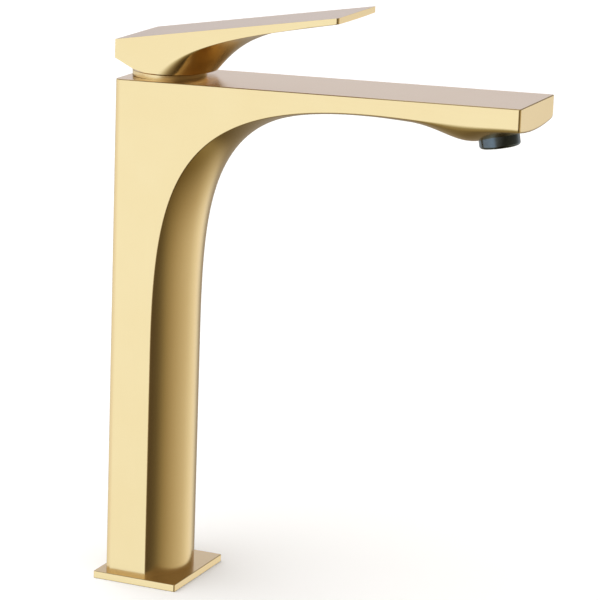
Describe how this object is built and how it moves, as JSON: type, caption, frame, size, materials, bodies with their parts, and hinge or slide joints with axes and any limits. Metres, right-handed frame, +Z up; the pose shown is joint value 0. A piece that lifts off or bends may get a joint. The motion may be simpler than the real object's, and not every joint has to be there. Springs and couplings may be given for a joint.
{
  "type": "basin mixer faucet",
  "caption": "Tall single-lever basin mixer: square column bending into a long flat spout, wide lever on top, aerator under the spout's end.",
  "frame": {"origin": "centre of the base plate's underside, where the mixer stands on the deck", "axes": "+Z up, +X along the spout towards its end, +Y to the left of someone looking along the spout"},
  "size_m": [0.2348, 0.061, 0.325],
  "materials": {
    "gold_satin": "satin brushed pale gold plating on cast brass",
    "brass_raw": "machined, unplated",
    "rubber_black": "moulded, matt",
    "steel_plain": "stainless steel, machined",
    "copper_tube": "drawn copper tube",
    "chrome_dark": "dark satin chrome",
    "plastic_white": "moulded acetal",
    "ceramic_white": "lapped alumina ceramic",
    "plastic_blue": "moulded acetal",
    "plastic_grey": "glass-filled nylon",
    "plastic_red": "moulded, red and blue halves"
  },
  "bodies": {
    "body": {"body_casting": "gold_satin", "base_plate": "gold_satin", "deck_gasket": "rubber_black", "foot_gasket": "rubber_black", "plate_screws": "steel_plain", "inlet_block": "brass_raw", "block_oring": "rubber_black", "block_screws": "steel_plain", "hot_tube": "copper_tube", "cold_tube": "copper_tube", "tube_orings": "rubber_black", "aerator_housing": "chrome_dark", "aerator_seal": "rubber_black", "aerator_insert": "plastic_white", "aerator_screen": "steel_plain", "cartridge_base": "plastic_white", "port_seals": "rubber_black", "fixed_disc": "ceramic_white", "disc_seals": "rubber_black", "cartridge_housing": "plastic_white", "thrust_ring": "plastic_grey", "cartridge_nut": "brass_raw", "trim_ring": "gold_satin", "ring_oring": "rubber_black"},
    "swivel": {"swivel_carrier": "plastic_grey", "pivot_pin": "steel_plain"},
    "lever": {"lever_stem": "brass_raw", "lever_handle": "gold_satin", "set_screw": "steel_plain", "index_plug": "plastic_red"},
    "disc": {"moving_disc": "ceramic_white", "disc_carrier": "plastic_blue"}
  },
  "joints": [
    {"name": "temperature", "type": "hinge", "parent": "body", "child": "swivel", "pos_m": [0, 0, 0.276], "axis": [0, 0, 1], "range_deg": [-45, 45]},
    {"name": "lift", "type": "hinge", "parent": "swivel", "child": "lever", "pos_m": [0, 0, 0.276], "axis": [0, -1, 0], "range_deg": [0, 18]},
    {"name": "flow_slide", "type": "slide", "parent": "swivel", "child": "disc", "axis": [1, 0, 0], "range_m": [0, 0.0034]}
  ],
  "couplings": [
    {"joint": "flow_slide", "follows": "lift", "m_per_rad": 0.0105}
  ]
}
